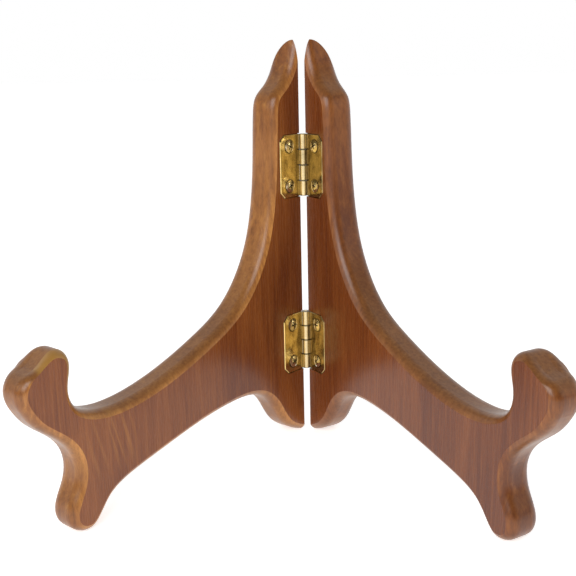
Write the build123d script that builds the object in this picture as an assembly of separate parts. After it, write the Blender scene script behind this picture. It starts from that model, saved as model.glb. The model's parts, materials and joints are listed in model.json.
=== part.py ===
from build123d import *
import os
from math import cos, radians, sin

# Folding display stand for a plate: two mirror-image wooden leaves cut from flat board,
# joined along their backs by two small brass butt hinges.  Millimetres, +Z up.
# The origin is on the table, in the middle of the stand.  The leaves open towards -Y.
#
# Each leaf is drawn once, as the right one, in its own upright frame:
#   local X = along the board, outwards from the hinge pin,
#   local Y = through the board, from its inner face to its outer face,
#   local Z = height above the table.

os.makedirs("parts", exist_ok=True)

# ---- Overall sizes -------------------------------------------------------------------
height = 163.0            # table to the tip of a leaf
reach = 138.0             # hinge pin to the front of the hook, along a leaf
opening = 72.0            # angle between the leaves as the stand is used
board = 13.5              # thickness of the wood

# ---- Leaf outline --------------------------------------------------------------------
spine_gap = 1.45          # hinge pin to the straight back edge of a leaf
upright_depth = 17.2      # hinge pin to the front edge, beside the upper hinge
shoulder_drop = 21.0      # tip down to the shoulder
waist_drop = 64.0         # tip down to the end of the straight front edge
notch_back = 38.5         # front of the hook back to the lowest point of the plate notch
notch_height = 40.8       # lowest point of the plate notch
hook_back = 20.4          # front of the hook back to the face that the plate leans on
hook_height = 66.5        # top of the hook
hook_radius = 4.8         # round at the top of the hook
throat_back = 20.3        # front of the hook back to the waist between hook and foot
throat_height = 24.1      # height of that waist
toe_back = 22.3           # front of the hook back to the middle of the front foot
toe_radius = 6.9          # round of the front foot
foot_sanding = 0.25       # sanded off the round to give the foot its flat
arch_height = 24.4        # highest point under the leg
arch_out = 37.0           # hinge pin to that point

# ---- Edges of the wood ---------------------------------------------------------------
inner_round = 4.4         # round on the edges of the inner face
outer_round = 4.4         # round on the edges of the outer face
lapping = 0.4             # wood sanded off the inner face after its edges are rounded
spine_ease = 0.8          # chamfer down the outer back edge
tip_roll_in = 11.0        # the tip rolls in from the outer face by this much
tip_roll_down = 22.0      # height over which it rolls in

# ---- Hinges --------------------------------------------------------------------------
hinge_length = 25.0       # along the pin
lower_hinge_height = 28.0 # table to the lower end of the lower hinge
upper_hinge_drop = 36.4   # tip down to the upper end of the upper hinge
face_gap = 0.5            # pin centre to the inner face of a leaf
plate_thickness = 0.9
plate_margin = 4.0        # front edge of the upright back to the edge of a hinge plate
plate_clip = 2.4          # clipped outer corners of a hinge plate
plate_bevel = 0.25        # fine bevel round the face of a hinge plate
knuckle_count = 4
knuckle_diameter = 3.1
knuckle_gap = 0.15        # between one knuckle and the next
pin_diameter = 1.5
pin_chamfer = 0.2
pin_clearance = 0.04      # radial, in the knuckles that turn on the pin
sweep_clearance = 0.15    # between a turning knuckle and the plate that faces it
mortise_clearance = 0.25  # around a hinge plate in its recess

# ---- Screws --------------------------------------------------------------------------
screw_inset = 4.6         # end of a hinge plate to the screw centre
screw_head_diameter = 5.0
screw_head_dome = 0.4     # height of the oval head above the plate
screw_shank_diameter = 2.2
screw_cover = 4.5         # wood left behind the point of a screw
screw_point = 2.0         # length of the point
screw_tip_radius = 0.2    # blunt end of the point
screw_hole_clearance = 0.15
cross_width = 0.55        # arms of the cross recess
cross_span = 2.6
cross_depth = 0.9
cross_turns = {"upper": (20.0, 65.0), "lower": (40.0, 8.0)}  # how each pair came to rest

# ---- Derived sizes -------------------------------------------------------------------
inner_face = face_gap
outer_face = face_gap + board
rough_face = inner_face - lapping
knuckle_radius = knuckle_diameter / 2
knuckle_pitch = hinge_length / knuckle_count
pin_radius = pin_diameter / 2
plate_start = knuckle_radius + sweep_clearance
plate_edge = upright_depth - plate_margin
plate_back = inner_face + plate_thickness
hinge_bottoms = {"upper": height - upper_hinge_drop - hinge_length, "lower": lower_hinge_height}
screw_out = (plate_start + plate_edge) / 2
screw_rises = (screw_inset, hinge_length - screw_inset)
screw_head_radius = screw_head_diameter / 2
screw_shank_radius = screw_shank_diameter / 2
screw_head_depth = screw_head_radius - screw_shank_radius
screw_length = board - screw_cover  # below the plate's face

edge_stretches = 16       # the curved edge of a leaf is handed on as this many pieces
beyond = 50.0             # how far cutting blocks reach past the wood
touching = 0.001          # edges this near a plane lie in it
behind = -12.0            # the outline is drawn past the spine to here, then sawn off
below = -3.0              # and past the table to here


def leaf_outline():
    """Face of a leaf in local X and Z, drawn past the spine and below the table."""
    shoulder = (upright_depth - 2.6, height - shoulder_drop)
    waist = (upright_depth + 2.4, height - waist_drop)
    notch = (reach - notch_back, notch_height)
    plate_rest = reach - hook_back
    throat = (reach - throat_back, throat_height)

    def swept(across, up):
        """Point on the sweep from the waist down to the notch, as shares of its two sides."""
        return (waist[0] + across * (notch[0] - waist[0]), notch[1] + up * (waist[1] - notch[1]))

    def toe_point(angle):
        turn = radians(angle)
        across = toe_radius * cos(turn)
        up = toe_radius * (1 + sin(turn)) - foot_sanding
        return (reach - toe_back + across, up)

    def hook_point(angle):
        turn = radians(angle)
        across = hook_radius * (1 + cos(turn))
        return (plate_rest + across, hook_height - hook_radius * (1 - sin(turn)))

    tip = [
        (behind, height + 12.0),
        (spine_gap + 0.4, height - 0.4),
        (spine_gap + 4.2, height - 11.6),
        (spine_gap + 8.4, height - 16.8),
    ]
    upright = [
        shoulder,
        (shoulder[0] + 2.0, shoulder[1] - 8.0),
        (upright_depth + 0.5, height - 48.0),
        waist,
    ]
    sweep = [
        swept(0.045, 0.765),
        swept(0.13, 0.54),
        swept(0.26, 0.352),
        swept(0.43, 0.222),
        swept(0.61, 0.12),
        swept(0.80, 0.04),
    ]
    plate_notch = [
        notch,
        (notch[0] + 10.5, notch_height + 1.1),
        (plate_rest - 1.0, notch_height + 4.9),
        (plate_rest + 1.1, notch_height + 11.6),
    ]
    hook = [
        *[hook_point(angle) for angle in (170, 120, 80, 45)],
        (reach - 7.1, hook_height - 5.1),
        (reach - 3.6, hook_height - 6.3),
        (reach, hook_height - 10.9),
        (reach - 0.4, hook_height - 15.5),
        (reach - 2.4, hook_height - 19.5),
        (reach - 5.6, hook_height - 23.9),
        (reach - 11.8, hook_height - 29.3),
        (throat[0] + 2.5, throat[1] + 6.9),
        throat,
        (throat[0] + 0.9, throat[1] - 6.7),
    ]
    toe = [toe_point(angle) for angle in (10, -30, -70, -110, -150)]
    arch_end = (arch_out + 8.0, arch_height - 0.3)
    foot_root = (reach - 33.5, 9.2)

    def under(share, height_there):
        """Point under the leg, at a share of the way from the arch to the foot."""
        return (arch_end[0] + share * (foot_root[0] - arch_end[0]), height_there)

    under_leg = [
        foot_root,
        under(0.89, 12.6),
        under(0.773, 14.7),
        under(0.53, 18.3),
        under(0.27, 21.8),
    ]
    arch = [
        arch_end,
        (arch_out, arch_height),
        (arch_out - 7.0, arch_height - 0.9),
        (arch_out - 12.8, arch_height - 3.4),
        (arch_out - 17.6, arch_height - 8.0),
        (arch_out - 21.4, arch_height - 14.0),
    ]
    heel = [
        (arch_out - 25.6, 5.0),
        (arch_out - 31.0, 1.4),
        (behind, below),
    ]
    points = tip + upright + sweep + plate_notch + hook + toe + under_leg + arch + heel
    edge = Spline(*points).edge()
    share = 1 / edge_stretches
    stretches = [edge.trim(i * share, (i + 1) * share) for i in range(edge_stretches)]
    return make_face([*stretches, Line(points[-1], points[0])])


def block(x, y, z):
    """Box between two corners; x, y and z are each a (low, high) pair."""
    box = Box(x[1] - x[0], y[1] - y[0], z[1] - z[0], align=(Align.MIN, Align.MIN, Align.MIN))
    return Pos(x[0], y[0], z[0]) * box


def rim(solid, y):
    """Edges of a solid that lie in the plane Y = y, without the one behind the spine."""
    def in_plane(edge):
        box = edge.bounding_box()
        return max(abs(box.min.Y - y), abs(box.max.Y - y)) < touching and box.max.X > 0

    return solid.edges().filter_by(in_plane)


def tip_roll():
    """Cutter that rolls the outer side of the tip in towards the inner face."""
    centre = (outer_face - tip_roll_in, height - tip_roll_down)
    past = outer_face + beyond
    roll = EllipticalCenterArc(centre, tip_roll_in, tip_roll_down, 0, arc_size=90)
    around = Polyline(
        (centre[0], height),
        (-beyond, height),
        (-beyond, height + beyond),
        (past, height + beyond),
        (past, centre[1]),
        (outer_face, centre[1]),
    )
    side = Plane(origin=(-beyond, 0, 0), x_dir=(0, 1, 0), z_dir=(1, 0, 0))
    return extrude(side * make_face([roll, around]), amount=2 * beyond, dir=(1, 0, 0))


def plate_blank(start, grow, front, back):
    """Flat of a hinge plate with its clipped corners, from Y = front to Y = back.

    It begins at X = start, and grow widens it all round for the recess in the wood.
    """
    edge = plate_edge + grow
    low = -grow
    high = hinge_length + grow
    corners = [
        (start, low),
        (edge - plate_clip, low),
        (edge, low + plate_clip),
        (edge, high - plate_clip),
        (edge - plate_clip, high),
        (start, high),
    ]
    upright_plane = Plane(origin=(0, front, 0), x_dir=(1, 0, 0), z_dir=(0, -1, 0))
    outline = make_face(Polyline(*corners, close=True))
    return extrude(upright_plane * outline, amount=back - front, dir=(0, 1, 0))


def turned(outline):
    """Solid turned about +Y from edges drawn as radius and depth."""
    return Rot(-90, 0, 0) * revolve(Plane.XZ * make_face(outline), Axis.Z)


def screw_side(extra, top):
    """Half outline of a screw: from the rim of its head to its point, then up its axis to top.

    extra widens it all round, for the hole that the screw goes into.
    """
    neck = screw_shank_radius + extra
    return Polyline(
        (screw_head_radius + extra, 0),
        (neck, screw_head_depth),
        (neck, screw_length - screw_point),
        (screw_tip_radius + extra, screw_length + extra),
        (0, screw_length + extra),
        (0, top),
    )


def screw(turn):
    """Oval-head wood screw with a cross recess turned by an angle, head at Y = 0."""
    side = screw_side(0, -screw_head_dome)
    rise = (screw_head_radius**2 - screw_head_dome**2) / (2 * screw_head_dome)
    dome_radius = rise + screw_head_dome
    middle = screw_head_radius / 2
    middle_depth = rise - (dome_radius**2 - middle**2) ** 0.5
    dome = ThreePointArc((0, -screw_head_dome), (middle, middle_depth), (screw_head_radius, 0))
    arm = Box(cross_span, cross_depth, cross_width)
    cross = Pos(0, cross_depth / 2 - screw_head_dome, 0) * (arm + Rot(0, 90, 0) * arm)
    return turned([side, dome]) - Rot(0, turn, 0) * cross


def screw_hole(extra):
    """Cutter for a screw's countersunk hole, with its mouth at Y = 0."""
    mouth = Line((0, 0), (screw_head_radius + extra, 0))
    return turned([screw_side(extra, 0), mouth])


def at_screws(make):
    """One shape for each screw of a leaf, keyed by hinge and place; make gets both."""
    shapes = {}
    for hinge, bottom in hinge_bottoms.items():
        for place, rise in zip(("bottom", "top"), screw_rises):
            shapes[hinge, place] = Pos(screw_out, inner_face, bottom + rise) * make(hinge, place)
    return shapes


def wooden_leaf():
    """One leaf in its own frame, with its two hinge recesses and four screw holes."""
    wide = (-beyond, reach + beyond)
    tall = (-beyond, height + beyond)
    drawn_on = Plane(origin=(0, rough_face, 0), x_dir=(1, 0, 0), z_dir=(0, -1, 0))
    leaf = extrude(drawn_on * leaf_outline(), amount=outer_face - rough_face, dir=(0, 1, 0))
    leaf = fillet(rim(leaf, outer_face), outer_round)
    leaf = fillet(rim(leaf, rough_face), inner_round)
    leaf -= block(wide, (rough_face - beyond, inner_face), tall)
    leaf -= block((-beyond, spine_gap), (-beyond, beyond), tall)
    leaf -= block(wide, (-beyond, beyond), (-beyond, 0))
    leaf -= tip_roll()
    ease_side = spine_ease * 2**0.5
    corner = Rot(0, 0, 45) * Box(ease_side, ease_side, 2 * (height + beyond))
    leaf -= Pos(spine_gap, outer_face, 0) * corner
    for bottom in hinge_bottoms.values():
        recess = plate_blank(0, mortise_clearance, -beyond, plate_back)
        leaf -= Pos(0, 0, bottom) * recess
    for hole in at_screws(lambda hinge, place: screw_hole(screw_hole_clearance)).values():
        leaf -= hole
    return leaf


def hinge_plate(first_knuckle, bore_radius):
    """Plate of a hinge with every second knuckle, its lower end at Z = 0."""
    plate = plate_blank(plate_start, 0, inner_face, plate_back)
    face_edges = plate.edges().filter_by(
        lambda edge: edge.bounding_box().max.Y < inner_face + touching
        and edge.bounding_box().max.X > plate_start + touching
    )
    plate = chamfer(face_edges, plate_bevel)
    for index in range(first_knuckle, knuckle_count, 2):
        low = index * knuckle_pitch + knuckle_gap / 2
        high = low + knuckle_pitch - knuckle_gap
        barrel = Pos(0, 0, (low + high) / 2) * Cylinder(knuckle_radius, high - low)
        neck = block((0, plate_start), (inner_face, plate_back), (low, high))
        plate += barrel + neck
    plate -= Pos(0, 0, hinge_length / 2) * Cylinder(bore_radius, 2 * hinge_length)
    for rise in screw_rises:
        plate -= Pos(screw_out, inner_face, rise) * screw_hole(0)
    return plate


def hinge_pin():
    """Pin of a hinge, its lower end at Z = 0."""
    pin = Cylinder(pin_radius, hinge_length, align=(Align.CENTER, Align.CENTER, Align.MIN))
    return chamfer(pin.edges().filter_by(GeomType.CIRCLE), pin_chamfer)


def on_right(shape):
    """Turn a shape from the leaf's own frame to where the right leaf stands open."""
    return Rot(0, 0, opening / 2 - 90) * shape


def on_left(shape):
    return mirror(on_right(shape), Plane.YZ)


# ---- The stand, with the hinge pins on the Z axis --------------------------------------
sides = {"left": on_left, "right": on_right}
first_knuckles = {"left": 0, "right": 1}
bores = {"left": pin_radius, "right": pin_radius + pin_clearance}
leaf_shape = wooden_leaf()
pieces = {}
for side, place_on in sides.items():
    pieces[f"{side}_leaf"] = place_on(leaf_shape)
    for hinge, bottom in hinge_bottoms.items():
        plate = hinge_plate(first_knuckles[side], bores[side])
        pieces[f"{hinge}_hinge_{side}_plate"] = place_on(Pos(0, 0, bottom) * plate)
    turns = {"bottom": 0, "top": 1}
    for (hinge, place), shape in at_screws(lambda h, p: screw(cross_turns[h][turns[p]])).items():
        pieces[f"{hinge}_hinge_{side}_screw_{place}"] = place_on(shape)
for hinge, bottom in hinge_bottoms.items():
    pieces[f"{hinge}_hinge_pin"] = Pos(0, 0, bottom) * hinge_pin()

# ---- Move the middle of the stand over the origin, and write the pieces ----------------
boxes = [shape.bounding_box() for shape in pieces.values()]
front_y = min(box.min.Y for box in boxes)
back_y = max(box.max.Y for box in boxes)
pin_y = -(front_y + back_y) / 2
for name, shape in pieces.items():
    export_step(Pos(0, pin_y, 0) * shape, f"parts/{name}.step")
print("hinge pins stand at y =", round(pin_y, 3))
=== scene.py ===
import json
from math import cos, pi, radians, sin

import bpy
from mathutils import Matrix, Vector


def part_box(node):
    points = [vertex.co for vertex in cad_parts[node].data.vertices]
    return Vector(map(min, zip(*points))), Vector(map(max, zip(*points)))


# Looks of a folding wooden plate stand with two brass butt hinges, in metres, Z up.
# The stand opens towards -Y, and the hinge pins stand on the plane X = 0.
# Places on a leaf are given in its own frame: along the board, through it and up, from the pin.
# Colours are linear red, green and blue. Repeats of a noise are per metre along each axis.

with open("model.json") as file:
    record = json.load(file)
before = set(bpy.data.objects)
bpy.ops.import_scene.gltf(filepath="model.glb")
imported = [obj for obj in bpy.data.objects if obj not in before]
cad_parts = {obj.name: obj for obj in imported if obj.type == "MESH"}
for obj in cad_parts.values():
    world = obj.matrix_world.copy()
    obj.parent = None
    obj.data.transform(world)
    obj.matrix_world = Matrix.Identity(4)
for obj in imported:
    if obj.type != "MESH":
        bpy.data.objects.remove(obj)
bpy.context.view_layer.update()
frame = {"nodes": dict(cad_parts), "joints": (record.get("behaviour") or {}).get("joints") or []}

MM = 0.001
HINGE = frame["joints"][0]
HALF_OPENING = -HINGE["range_deg"][0] / 2   # the stand closes flat through the full opening
PIN = Vector(HINGE["pos_m"])
SIDES = {"left": -1, "right": 1}
HINGES = ("upper", "lower")
PLACES = ("bottom", "top")
TURN = radians(90 - HALF_OPENING)        # from the right leaf to the X axis

# ---- Wood -------------------------------------------------------------------------------
FIGURE = (                               # place on the ramp, and colour there
    (0.34, (0.150, 0.035, 0.007)),
    (0.50, (0.205, 0.054, 0.010)),
    (0.66, (0.265, 0.078, 0.016)),
)
PALE_STREAK = (0.370, 0.125, 0.028)
DARK_STREAK = (0.115, 0.027, 0.006)
DARK_FIBRE = (0.120, 0.032, 0.008)
END_GRAIN = ((0.35, (0.175, 0.065, 0.015)), (0.65, (0.330, 0.150, 0.042)))
SAPWOOD = (0.400, 0.205, 0.040)
NOTCH_STREAK = (0.400, 0.150, 0.030)

# Tints multiply the colour under them, and each is used in a share that depends on the leaf.
# Side shade tint: painted shade for the right leaf's wood.
SIDE_SHADE_TINT = (0.80, 0.74, 0.70)
GOLDEN_TINT = (1.65, 2.40, 2.50)
# Arris tint: a painted highlight on the arris beside the inner face.
ARRIS_HIGHLIGHT_TINT = (1.9, 2.1, 2.3)
PATCH_TINT = (0.62, 0.52, 0.42)
PORE_TINT = (0.45, 0.36, 0.28)
# Share of painted shade per leaf.
PAINTED_SIDE_SHADE = {"left": 0.0, "right": 0.9}
# Share of golden edge colour per leaf: the edges' own colour, with the larger share on the left
# leaf as painted light.
GOLDEN_EDGES_AND_SIDE_LIGHT = {"left": 0.70, "right": 0.32}
# Share of painted arris highlight per leaf.
PAINTED_ARRIS_HIGHLIGHT = {"left": 0.55, "right": 0.30}
LACQUER_ROUGHNESS = 0.22
LACQUER_IOR = 1.5

# ---- Brass ------------------------------------------------------------------------------
KNUCKLES = 4                             # on each hinge
KNUCKLE_RADIUS = 1.55 * MM
SCREW_RADIUS = 2.5 * MM                  # of the heads
PLATE_FACE = 0.5 * MM                    # depth from the pins' middle to the face of the plates
PLATE_BRASS_LIT_AND_SHADED = {                          # each colour with its darker tone; the left plates are painted lighter and the right ones darker, as painted light and shade
    "left": ((0.88, 0.66, 0.26), (0.42, 0.27, 0.085)),
    "right": ((0.45, 0.33, 0.14), (0.22, 0.14, 0.05)),
}
PALE_BRASS = ((0.88, 0.77, 0.52), (0.50, 0.38, 0.18))
KNUCKLE_BRASS = (0.70, 0.55, 0.30)
# Painted shade, laid in the screws' cross recesses, beside the knuckles, in the joints between them
# and round the screw heads.
PAINTED_SHADE = (0.030, 0.018, 0.008)
PLATE_ROUGHNESS = 0.13
SCREW_ROUGHNESS = 0.12

# ---- Floor and light --------------------------------------------------------------------
FLOOR_REACH = 6.0
FLOOR_GREYS = ((0.3, 0.90), (0.7, 0.93))
FLOOR_GLOW = 0.65
ROOM_LIGHT = (-0.6, 0.40, 0.08, 1.00)    # from and to these depths, this dim and this bright
OVERHEAD_LIGHT = (0.2, 1.0, 1.0, 0.35)   # from and to these heights, this share and this one
LIGHTS_AIM = (0, 0, 0.08)
SOFTBOXES = {                            # place, size of a side, and brightness against white
    "left_softbox": ((-0.85, -0.55, 0.55), 0.5, 1.5),
    "right_softbox": ((0.95, -0.40, 0.50), 0.5, 0.7),
    "front_softbox": ((-0.20, -0.90, 0.66), 0.65, 5.2),
}


# ---- Shader graph helpers ---------------------------------------------------------------
class Graph:
    """Nodes of a material or the world, with one short call for each kind that is used here."""

    def __init__(self, owner, shader="Principled BSDF"):
        owner.use_nodes = True
        self.owner = owner
        self.tree = owner.node_tree
        self.shader = self.tree.nodes[shader]

    def node(self, kind, inputs=None, **settings):
        made = self.tree.nodes.new(kind)
        for name, value in settings.items():
            setattr(made, name, value)
        for name, value in (inputs or {}).items():
            self.put(made.inputs[name], value)
        return made

    def put(self, socket, value):
        """Link an output to a socket, or set the socket to a plain value."""
        if isinstance(value, bpy.types.NodeSocket):
            self.tree.links.new(value, socket)
        else:
            socket.default_value = value

    def point(self, side=None):
        """Object coordinates, or for a side those of its leaf."""
        coordinates = self.node("ShaderNodeTexCoord").outputs["Object"]
        if side is None:
            return coordinates
        sign = SIDES[side]
        from_pin = self.vector("SUBTRACT", coordinates, (PIN.x, PIN.y, 0))
        turned = self.turned(from_pin, (0, 0, sign * TURN))
        return self.vector("MULTIPLY", turned, (sign, 1, 1))

    def turned(self, vector, angles):
        return self.node("ShaderNodeMapping", {"Vector": vector, "Rotation": angles}).outputs[0]

    def vector(self, operation, a, b):
        made = self.node("ShaderNodeVectorMath", {0: a, 1: b}, operation=operation)
        return made.outputs["Value" if operation == "DOT_PRODUCT" else "Vector"]

    def length(self, vector):
        return self.node("ShaderNodeVectorMath", {0: vector}, operation="LENGTH").outputs["Value"]

    def axis(self, vector, letter):
        return self.node("ShaderNodeSeparateXYZ", {0: vector}).outputs[letter]

    def fade(self, value, start, end, low=0.0, high=1.0, kind="LINEAR"):
        """From low before start to high after end, whichever of the two is the larger."""
        inputs = {"Value": value, "From Min": start, "From Max": end, "To Min": low, "To Max": high}
        return self.node("ShaderNodeMapRange", inputs, interpolation_type=kind).outputs["Result"]

    def away(self, value, middle):
        """How far a value is from the middle, on either side."""
        return self.math("ABSOLUTE", self.math("SUBTRACT", value, middle))

    def noise(self, point, repeats, detail=3.0, roughness=0.5, distortion=0.0):
        inputs = {
            "Vector": self.vector("MULTIPLY", point, repeats),
            "Scale": 1.0,
            "Detail": detail,
            "Roughness": roughness,
            "Distortion": distortion,
        }
        return self.node("ShaderNodeTexNoise", inputs).outputs["Fac"]

    def ramp(self, value, *stops):
        """Colour or grey ramp through (position, value) stops."""
        made = self.node("ShaderNodeValToRGB", {"Fac": value})
        ramp = made.color_ramp
        while len(ramp.elements) < len(stops):
            ramp.elements.new(0.5)
        for element, (position, shade) in zip(ramp.elements, stops):
            element.position = position
            element.color = (shade,) * 3 + (1,) if isinstance(shade, float) else (*shade, 1)
        return made.outputs["Color"]

    def math(self, operation, a, b=0.0, c=0.0):
        return self.node("ShaderNodeMath", {0: a, 1: b, 2: c}, operation=operation).outputs[0]

    def product(self, first, *others):
        for other in others:
            first = self.math("MULTIPLY", first, other)
        return first

    def mix(self, share, a, b, blend="MIX"):
        made = self.node("ShaderNodeMix", data_type="RGBA", blend_type=blend)
        self.put(made.inputs["Factor"], share)
        self.put(made.inputs["A"], a if isinstance(a, bpy.types.NodeSocket) else (*a, 1))
        self.put(made.inputs["B"], b if isinstance(b, bpy.types.NodeSocket) else (*b, 1))
        return made.outputs["Result"]

    def tint(self, share, colour, tint):
        return self.mix(share, colour, tint, "MULTIPLY")

    def bump(self, height, strength, distance, under=None):
        inputs = {"Height": height, "Strength": strength, "Distance": distance}
        if under is not None:
            inputs["Normal"] = under
        return self.node("ShaderNodeBump", inputs).outputs["Normal"]

    def finish(self, **inputs):
        """Set the shader's inputs, and give back the material or world."""
        for name, value in inputs.items():
            self.put(self.shader.inputs[name.replace("_", " ")], value)
        return self.owner


def material_graph(name):
    return Graph(bpy.data.materials.new(name))


def paint(piece, material):
    piece.data.materials.clear()
    piece.data.materials.append(material)


# ---- Wood of the leaves -----------------------------------------------------------------
def wood(side):
    """Lacquered reddish hardwood, its grain upright in the board."""
    g = material_graph(f"{side}_wood")
    point = g.vector("ADD", g.point(side), (SIDES[side] * 0.31, 0.17, 0.05))
    streaks = g.noise(point, (1100, 500, 26), detail=5, roughness=0.65)
    fibres = g.noise(point, (4200, 4200, 130), detail=3, roughness=0.6)
    edge, end_grain, arris = leaf_edges(g, side)

    figure = g.noise(point, (45, 30, 9), detail=3, distortion=1.0)
    tone = g.ramp(figure, *FIGURE)
    tone = g.mix(g.ramp(streaks, (0.50, 0.0), (0.72, 0.50)), tone, PALE_STREAK)
    tone = g.mix(g.ramp(streaks, (0.30, 0.60), (0.48, 0.0)), tone, DARK_STREAK)
    tone = g.mix(g.ramp(fibres, (0.30, 0.30), (0.50, 0.0)), tone, DARK_FIBRE)
    # Painted shade darkens the right leaf's wood.
    tone = g.tint(PAINTED_SIDE_SHADE[side], tone, SIDE_SHADE_TINT)
    if side == "left":
        tone = notch_streaks(g, tone)
    # Golden edge colour, with more on the left leaf as painted light.
    tone = g.tint(g.product(edge, GOLDEN_EDGES_AND_SIDE_LIGHT[side]), tone, GOLDEN_TINT)
    tone = edge_grain(g, point, edge, tone)

    mottle = g.noise(point, (900, 900, 900), detail=4, roughness=0.65)
    tone = g.mix(g.product(end_grain, 0.55), tone, g.ramp(mottle, *END_GRAIN))
    # Painted highlight along the arris, stronger on the left leaf.
    tone = g.tint(g.product(arris, PAINTED_ARRIS_HIGHLIGHT[side]), tone, ARRIS_HIGHLIGHT_TINT)
    if side == "left":
        tone = sapwood(g, tone, edge)

    roughness = g.math("MULTIPLY_ADD", fibres, 0.10, LACQUER_ROUGHNESS)
    grain = g.bump(fibres, strength=0.06, distance=0.1 * MM)
    return g.finish(
        Base_Color=tone,
        Roughness=g.math("MULTIPLY_ADD", edge, 0.04, roughness),
        Normal=g.bump(streaks, strength=0.04, distance=0.3 * MM, under=grain),
        IOR=LACQUER_IOR,
    )


def leaf_edges(g, side):
    """Shares of edge, of end grain and of the arris beside the inner face, where a highlight is
    painted.
    """
    normal = g.node("ShaderNodeTexCoord").outputs["Normal"]
    through = (SIDES[side] * sin(TURN), cos(TURN), 0)
    outward = g.vector("DOT_PRODUCT", normal, through)
    edge = g.fade(g.math("ABSOLUTE", outward), 0.94, 0.90)
    end_grain = g.fade(g.math("ABSOLUTE", g.axis(normal, "Z")), 0.30, 0.85)
    arris = g.product(edge, g.fade(outward, -0.62, -0.86))
    return edge, end_grain, arris


def edge_grain(g, point, edge, tone):
    """Darker patches and pores in the edge of a leaf."""
    patches = g.noise(point, (160, 160, 70), detail=4, roughness=0.6, distortion=0.4)
    pores = g.noise(point, (1700, 1700, 420), detail=3, roughness=0.7)
    patchy = g.math("MULTIPLY_ADD", g.fade(patches, 0.58, 0.40), 0.55, 0.10)
    tone = g.tint(g.product(edge, patchy), tone, PATCH_TINT)
    return g.tint(g.product(edge, g.fade(pores, 0.50, 0.38), 0.35), tone, PORE_TINT)


def notch_streaks(g, tone):
    """A fan of paler, leaning streaks in the leg below the plate notch."""
    middle_along, half_along = 104 * MM, 12 * MM
    middle_up, half_up = 30 * MM, 14 * MM
    full_within = 5 * MM
    lean = radians(-14)
    point = g.point("left")
    lines = g.noise(g.turned(point, (0, lean, 0)), (520, 90, 18), detail=2)
    near = g.product(
        g.fade(g.away(g.axis(point, "X"), middle_along), half_along, full_within),
        g.fade(g.away(g.axis(point, "Z"), middle_up), half_up, full_within),
    )
    return g.mix(g.product(g.fade(lines, 0.50, 0.66), near, 0.7), tone, NOTCH_STREAK)


def sapwood(g, tone, edge):
    """A pale strip of sapwood in the edge, over the top of the hook."""
    point = g.point("left")
    along, through, up = (g.axis(point, letter) for letter in "XYZ")
    strip = g.product(
        edge,
        g.fade(along, 118 * MM, 119 * MM),
        g.fade(along, 131.5 * MM, 130 * MM),
        g.fade(through, 4.6 * MM, 4.1 * MM),
        g.fade(up, 55.5 * MM, 57.0 * MM),
    )
    return g.mix(g.product(strip, 0.8), tone, SAPWOOD)


# ---- Brass of the hinges and screws -----------------------------------------------------
def brass(name, tone, shade, roughness):
    """Graph of polished brass, uneven enough to break up what it reflects, and its colour."""
    g = material_graph(name)
    clouds = g.noise(g.point(), (420, 420, 240), detail=4, roughness=0.6)
    waves = g.noise(g.point(), (110, 110, 70), detail=1, distortion=0.6)
    marks = g.noise(g.point(), (3200, 3200, 300), detail=2)
    wavy = g.bump(waves, strength=0.5, distance=1.0 * MM)
    g.finish(
        Metallic=1.0,
        Roughness=g.math("MULTIPLY_ADD", clouds, 0.12, roughness),
        Normal=g.bump(marks, strength=0.05, distance=0.08 * MM, under=wavy),
    )
    return g, g.mix(g.product(g.fade(clouds, 0.54, 0.36), 0.6), tone, shade)


def pin_brass(hinge):
    g, colour = brass(f"{hinge}_pin_brass", *PALE_BRASS, PLATE_ROUGHNESS)
    return g.finish(Base_Color=colour)


def screw_brass(side):
    """Pale brass of a leaf's screws, with painted shade where it lies below the face of the hinge
    plates, as in the cross recesses.
    """
    g, colour = brass(f"{side}_screw_brass", *PALE_BRASS, SCREW_ROUGHNESS)
    depth = g.axis(g.point(side), "Y")
    # Painted shade below the face of the plates, in the cross recesses.
    sunk = g.fade(depth, PLATE_FACE + 0.02 * MM, PLATE_FACE + 0.22 * MM)
    return g.finish(Base_Color=g.mix(sunk, colour, PAINTED_SHADE))


def hinge_brass(hinge, side):
    """Brass of a plate, paler on its knuckles, with painted shade beside them, in the joints
    between them and round the screws.
    """
    # The plate's brass per side: painted lighter on the left plates and darker on the right.
    g, colour = brass(f"{hinge}_{side}_hinge_brass", *PLATE_BRASS_LIT_AND_SHADED[side], PLATE_ROUGHNESS)
    point = g.point(side)
    from_pin = g.length(g.vector("MULTIPLY", point, (1, 1, 0)))
    outside = g.math("SUBTRACT", from_pin, KNUCKLE_RADIUS)
    on_knuckle = g.fade(outside, 0.13 * MM, 0.05 * MM)
    colour = g.mix(on_knuckle, colour, KNUCKLE_BRASS)
    # Painted shade in a band on the plate beside the knuckles.
    beside = g.product(
        g.fade(outside, 0.05 * MM, 0.20 * MM),
        g.fade(outside, 2.25 * MM, 0.25 * MM),
    )
    colour = g.mix(g.product(beside, 0.8), colour, PAINTED_SHADE)

    # Painted shade in the joints between the knuckles.
    low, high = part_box(f"{hinge}_hinge_pin")
    above = g.math("SUBTRACT", g.axis(point, "Z"), low.z)
    steps = g.math("DIVIDE", above, (high.z - low.z) / KNUCKLES)
    from_joint = g.away(steps, g.math("ROUND", steps))
    joints = g.product(g.fade(from_joint, 0.07, 0.02), g.fade(outside, 0.65 * MM, 0.25 * MM))
    colour = g.mix(g.product(joints, 0.9), colour, PAINTED_SHADE)

    # Painted shade in a ring round each screw head.
    for place in PLACES:
        from_head = g.vector("SUBTRACT", point, screw_middle(hinge, side, place))
        aside = g.length(g.vector("MULTIPLY", from_head, (1, 0, 1)))
        rim = g.fade(aside, SCREW_RADIUS + 0.55 * MM, SCREW_RADIUS + 0.10 * MM)
        colour = g.mix(g.product(rim, 0.9), colour, PAINTED_SHADE)
    return g.finish(Base_Color=colour)


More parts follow.
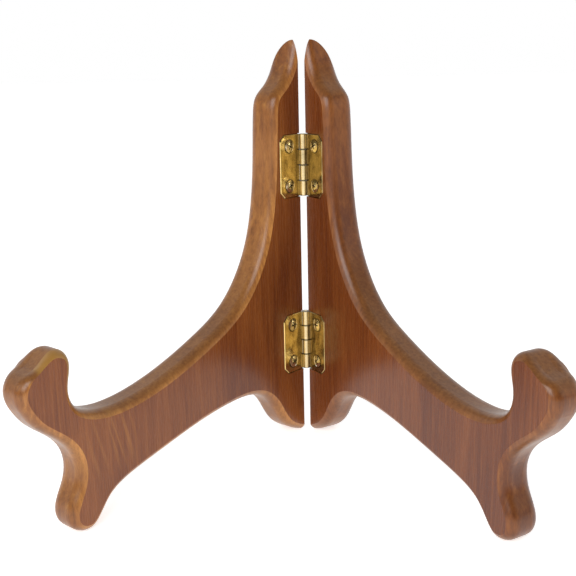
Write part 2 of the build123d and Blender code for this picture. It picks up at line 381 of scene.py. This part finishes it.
def screw_middle(hinge, side, place):
    """Middle of a screw's box, in its leaf's own frame."""
    low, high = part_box(f"{hinge}_hinge_{side}_screw_{place}")
    middle = (low + high) / 2 - Vector((PIN.x, PIN.y, 0))
    turned = Matrix.Rotation(SIDES[side] * TURN, 3, "Z") @ middle
    return (SIDES[side] * turned.x, turned.y, turned.z)


# ---- Floor, light and camera ------------------------------------------------------------
def pale_floor():
    """Large pale floor with a faint grain to it, which glows a little to stay white."""
    mesh = bpy.data.meshes.new("floor")
    signs = ((-1, -1), (1, -1), (1, 1), (-1, 1))
    corners = [(x * FLOOR_REACH, y * FLOOR_REACH, 0) for x, y in signs]
    mesh.from_pydata(corners, [], [(0, 1, 2, 3)])
    floor = bpy.data.objects.new("floor", mesh)
    bpy.context.scene.collection.objects.link(floor)
    g = material_graph("pale_floor")
    tooth = g.noise(g.point(), (40, 40, 40), detail=4)
    paint(floor, g.finish(
        Base_Color=g.ramp(tooth, *FLOOR_GREYS),
        Roughness=0.6,
        Emission_Color=(1, 1, 1, 1),
        Emission_Strength=FLOOR_GLOW,
    ))


def softbox(name, place, size, brightness):
    """Square light that faces the middle of the stand."""
    light = bpy.data.lights.new(name, "AREA")
    light.size = size
    light.energy = brightness * pi * size**2
    lamp = bpy.data.objects.new(name, light)
    lamp.location = place
    toward = Vector(LIGHTS_AIM) - Vector(place)
    lamp.rotation_euler = toward.to_track_quat("-Z", "Y").to_euler()
    bpy.context.scene.collection.objects.link(lamp)


def white_room():
    """World that is white to the camera. Its light is dimmer from -Y and from overhead."""
    world = bpy.data.worlds.new("white_room")
    bpy.context.scene.world = world
    g = Graph(world, "Background")
    direction = g.node("ShaderNodeTexCoord").outputs["Generated"]
    depth = g.fade(g.axis(direction, "Y"), *ROOM_LIGHT, kind="SMOOTHSTEP")
    height = g.fade(g.axis(direction, "Z"), *OVERHEAD_LIGHT)
    to_camera = g.node("ShaderNodeLightPath").outputs["Is Camera Ray"]
    lit = {"Factor": to_camera, "A": g.product(depth, height), "B": 1.0}
    g.finish(Color=(1, 1, 1, 1), Strength=g.node("ShaderNodeMix", lit).outputs["Result"])


def camera():
    """Camera in front, a little above and to the right, with a slight roll."""
    distance = 0.4055
    azimuth = radians(5.16)
    elevation = radians(14.02)
    roll = radians(-1.28)
    lens = 58.55
    foot_height = 0.0023              # of the point on the pins' line that the aim is told from
    aside, rise = -0.0085, 0.0586     # of the aim from that point, in the view plane
    back = Vector((
        sin(azimuth) * cos(elevation),
        -cos(azimuth) * cos(elevation),
        sin(elevation),
    ))
    level = Vector((cos(azimuth), sin(azimuth), 0))
    upright = back.cross(level)
    right = cos(roll) * level + sin(roll) * upright
    up = cos(roll) * upright - sin(roll) * level
    foot = Vector((PIN.x, PIN.y, foot_height))
    place = foot + right * aside + up * rise + back * distance
    data = bpy.data.cameras.new("camera")
    data.lens = lens
    made = bpy.data.objects.new("camera", data)
    turn = Matrix((right, up, back)).transposed().to_4x4()
    made.matrix_world = Matrix.Translation(place) @ turn
    bpy.context.scene.collection.objects.link(made)
    bpy.context.scene.camera = made


# ---- The stand, and what is around it ---------------------------------------------------
nodes = frame["nodes"]
for side in SIDES:
    paint(nodes[f"{side}_leaf"], wood(side))
    screws = screw_brass(side)
    for hinge in HINGES:
        paint(nodes[f"{hinge}_hinge_{side}_plate"], hinge_brass(hinge, side))
        for place in PLACES:
            paint(nodes[f"{hinge}_hinge_{side}_screw_{place}"], screws)
for hinge in HINGES:
    paint(nodes[f"{hinge}_hinge_pin"], pin_brass(hinge))

pale_floor()
white_room()
for name, (place, size, brightness) in SOFTBOXES.items():
    softbox(name, place, size, brightness)
camera()
bpy.context.scene.view_settings.view_transform = "Standard"
